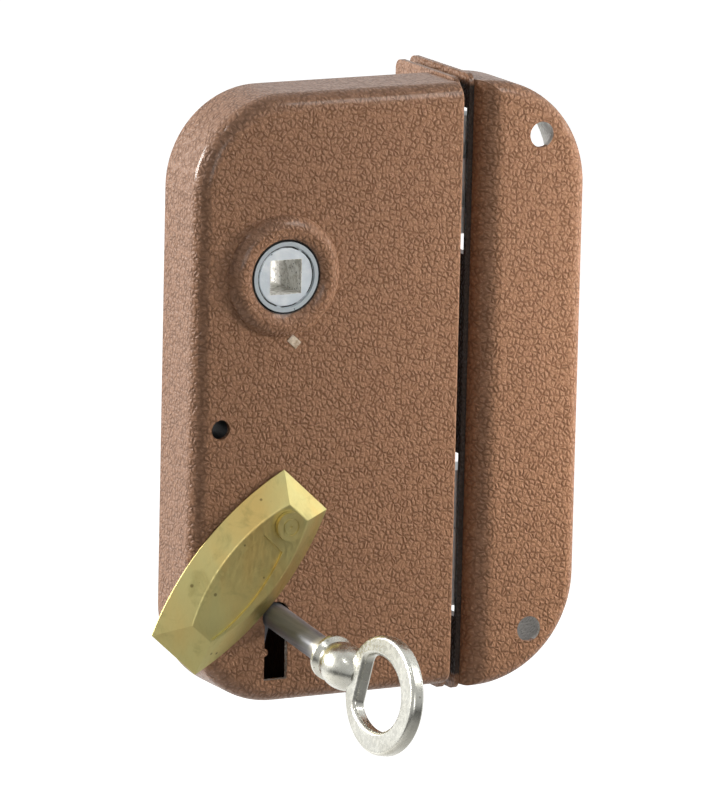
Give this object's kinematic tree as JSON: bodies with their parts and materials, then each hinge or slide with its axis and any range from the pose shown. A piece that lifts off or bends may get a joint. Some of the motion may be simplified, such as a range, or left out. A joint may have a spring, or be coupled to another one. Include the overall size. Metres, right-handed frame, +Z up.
{
  "type": "rim box lock",
  "caption": "Surface-mounted rim lock with sprung latch, lever dead bolt, key with oval bow, swinging key cover and box strike",
  "frame": {"origin": "middle of the lock case's flat back face, where it lies on the door", "axes": "+X from the lock case towards the strike, +Y into the door, +Z up; the front with the key faces -Y"},
  "size_m": [0.1013, 0.096, 0.1334],
  "materials": {
    "hammered_paint": "hammered copper-brown paint",
    "plated_sheet": "zinc-plated sheet steel",
    "plated_steel": "zinc-plated turned steel",
    "zinc_casting": "satin zinc casting",
    "spring_steel": "spring steel wire and strip",
    "key_steel": "dark drawn steel",
    "nickel_plate": "bright nickel plate",
    "brass_sheet": "satin pressed brass"
  },
  "bodies": {
    "case": {"front_case": "hammered_paint", "back_plate": "plated_sheet", "face_plate": "hammered_paint", "face_plate_rivets": "hammered_paint", "case_pillars": "plated_steel", "back_plate_screws": "plated_steel", "fixing_bush": "plated_steel", "hub_spring": "spring_steel", "spring_anchor": "plated_steel", "latch_guide_post": "plated_steel", "latch_spring_seat": "plated_steel", "latch_spring": "spring_steel", "bolt_guide_post": "plated_steel", "lever_pivot_pin": "plated_steel", "lever_spring_post": "plated_steel", "cover_rivet": "brass_sheet"},
    "hub": {"hub": "zinc_casting"},
    "latch": {"latch_bolt": "zinc_casting"},
    "bolt": {"dead_bolt": "zinc_casting", "bolt_stump": "plated_steel"},
    "key": {"key_shank": "key_steel", "key_bow": "nickel_plate"},
    "cover": {"key_cover": "brass_sheet"},
    "lever_1": {"lever_1": "plated_sheet", "lever_spring_1": "spring_steel"},
    "lever_2": {"lever_2": "plated_sheet", "lever_spring_2": "spring_steel"},
    "lever_3": {"lever_3": "plated_sheet", "lever_spring_3": "spring_steel"},
    "strike": {"strike_box": "hammered_paint", "strike_plate": "hammered_paint", "strike_rivets": "hammered_paint"}
  },
  "joints": [
    {"name": "hub_turn", "type": "hinge", "parent": "case", "child": "hub", "pos_m": [-0.011, -0.008, 0.0268], "axis": [0, -1, 0], "range_deg": [0, 35], "stiffness_Nm_per_rad": 0.15, "springref_deg": -28.65, "deforming": ["hub_spring"]},
    {"name": "latch_slide", "type": "slide", "parent": "case", "child": "latch", "axis": [-1, 0, 0], "range_m": [0, 0.011], "stiffness_N_per_m": 250, "springref_m": -0.01, "deforming": ["latch_spring"]},
    {"name": "key_turn", "type": "hinge", "parent": "case", "child": "key", "pos_m": [-0.011, -0.0154, -0.0462], "axis": [0, -0.9936, -0.1132], "range_deg": [0, 720]},
    {"name": "dead_bolt_throw", "type": "slide", "parent": "case", "child": "bolt", "axis": [-1, 0, 0], "range_m": [0, 0.014]},
    {"name": "cover_swing", "type": "hinge", "parent": "case", "child": "cover", "pos_m": [-0.011, -0.018, -0.0256], "axis": [0, 1, 0], "range_deg": [0, 270]},
    {"name": "lever_1_lift", "type": "hinge", "parent": "case", "child": "lever_1", "pos_m": [-0.0225, -0.0115, -0.021], "axis": [0, -1, 0], "range_deg": [0, 6], "stiffness_Nm_per_rad": 0.02, "springref_deg": -17.19, "deforming": ["lever_spring_1"]},
    {"name": "lever_2_lift", "type": "hinge", "parent": "case", "child": "lever_2", "pos_m": [-0.0225, -0.0115, -0.021], "axis": [0, -1, 0], "range_deg": [0, 6], "stiffness_Nm_per_rad": 0.02, "springref_deg": -17.19, "deforming": ["lever_spring_2"]},
    {"name": "lever_3_lift", "type": "hinge", "parent": "case", "child": "lever_3", "pos_m": [-0.0225, -0.0115, -0.021], "axis": [0, -1, 0], "range_deg": [0, 6], "stiffness_Nm_per_rad": 0.02, "springref_deg": -17.19, "deforming": ["lever_spring_3"]},
    {"name": "strike_slide", "type": "slide", "parent": "case", "child": "strike", "axis": [1, 0, 0], "range_m": [0, 0.012]}
  ],
  "couplings": [
    {"joint": "hub_turn", "follows": "latch_slide", "rad_per_m": 55.533},
    {"joint": "key_turn", "follows": "dead_bolt_throw", "rad_per_m": 897.6},
    {"joint": "lever_2_lift", "follows": "lever_1_lift", "ratio": 1},
    {"joint": "lever_3_lift", "follows": "lever_1_lift", "ratio": 1}
  ]
}
